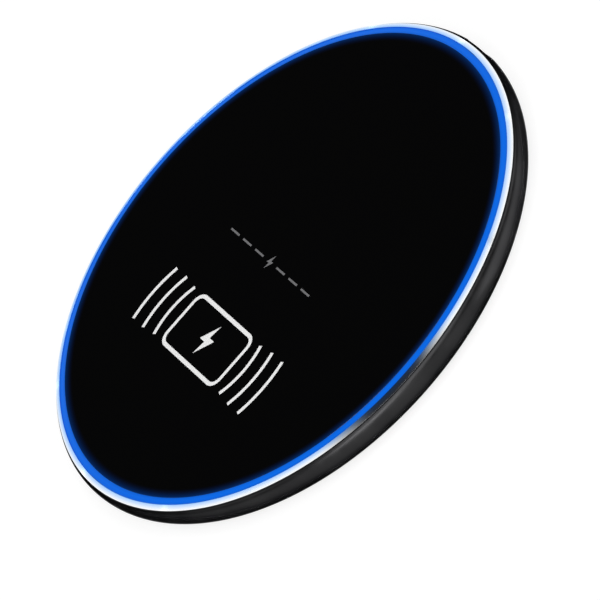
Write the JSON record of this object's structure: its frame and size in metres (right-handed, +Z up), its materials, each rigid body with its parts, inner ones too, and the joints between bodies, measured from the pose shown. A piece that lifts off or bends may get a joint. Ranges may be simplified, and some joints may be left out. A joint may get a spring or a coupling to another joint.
{
  "type": "wireless charging pad",
  "caption": "Round, flat wireless charging pad for a phone, with a glossy disc, a lit ring, a bright bevel, a rounded side wall and a USB socket at the back.",
  "frame": {"origin": "on the resting plane, under the centre of the pad", "axes": "+Z up, out of the face the phone lies on; +Y towards the USB socket at the back; +X to the right"},
  "size_m": [0.1, 0.0998, 0.0072],
  "materials": {
    "housing_metal": "satin black anodised aluminium",
    "cover_plastic": "fine matt black moulded plastic",
    "bright_metal": "diamond-cut bright bevel",
    "lit_ring": "translucent, lit blue from inside",
    "cover_gloss": "high-gloss black",
    "adhesive_tape": "double-sided tape",
    "foot_rubber": "matt, fine-grained silicone rubber",
    "label_film": "blank dark grey satin film",
    "board": "green solder mask on glass-fibre board",
    "ferrite": "matt dark grey ferrite",
    "copper_wire": "enamelled copper litz wire",
    "chip_plastic": "matt moulded epoxy",
    "foam": "open-cell foam",
    "socket_steel": "drawn stainless steel",
    "socket_plastic": "black moulded plastic",
    "capacitor_ceramic": "tan ceramic",
    "lamp": "clear lens over a pale body",
    "screw_steel": "plated steel"
  },
  "bodies": {
    "root": {"housing": "housing_metal", "bottom_cover": "cover_plastic", "trim_ring": "bright_metal", "light_guide": "lit_ring", "cover_plate": "cover_gloss", "cover_adhesive": "adhesive_tape", "foot_ring": "foot_rubber", "rating_label": "label_film", "main_board": "board", "ferrite_adhesive": "adhesive_tape", "ferrite_shield": "ferrite", "coil_winding": "copper_wire", "coil_lead_inner": "copper_wire", "coil_lead_outer": "copper_wire", "thermistor": "chip_plastic", "foam_spacer": "foam", "usb_shell": "socket_steel", "usb_tongue": "socket_plastic", "controller_chip": "chip_plastic", "bridge_chip_1": "chip_plastic", "bridge_chip_2": "chip_plastic", "power_inductor": "ferrite", "sense_resistor": "chip_plastic", "crystal": "screw_steel", "input_capacitor_1": "capacitor_ceramic", "input_capacitor_2": "capacitor_ceramic", "resonant_capacitor_1": "capacitor_ceramic", "resonant_capacitor_2": "capacitor_ceramic", "resonant_capacitor_3": "capacitor_ceramic", "resonant_capacitor_4": "capacitor_ceramic", "led_1": "lamp", "led_2": "lamp", "led_3": "lamp", "led_4": "lamp", "led_5": "lamp", "led_6": "lamp", "led_7": "lamp", "led_8": "lamp", "screw_1": "screw_steel", "screw_2": "screw_steel", "screw_3": "screw_steel", "screw_4": "screw_steel"}
  },
  "joints": []
}
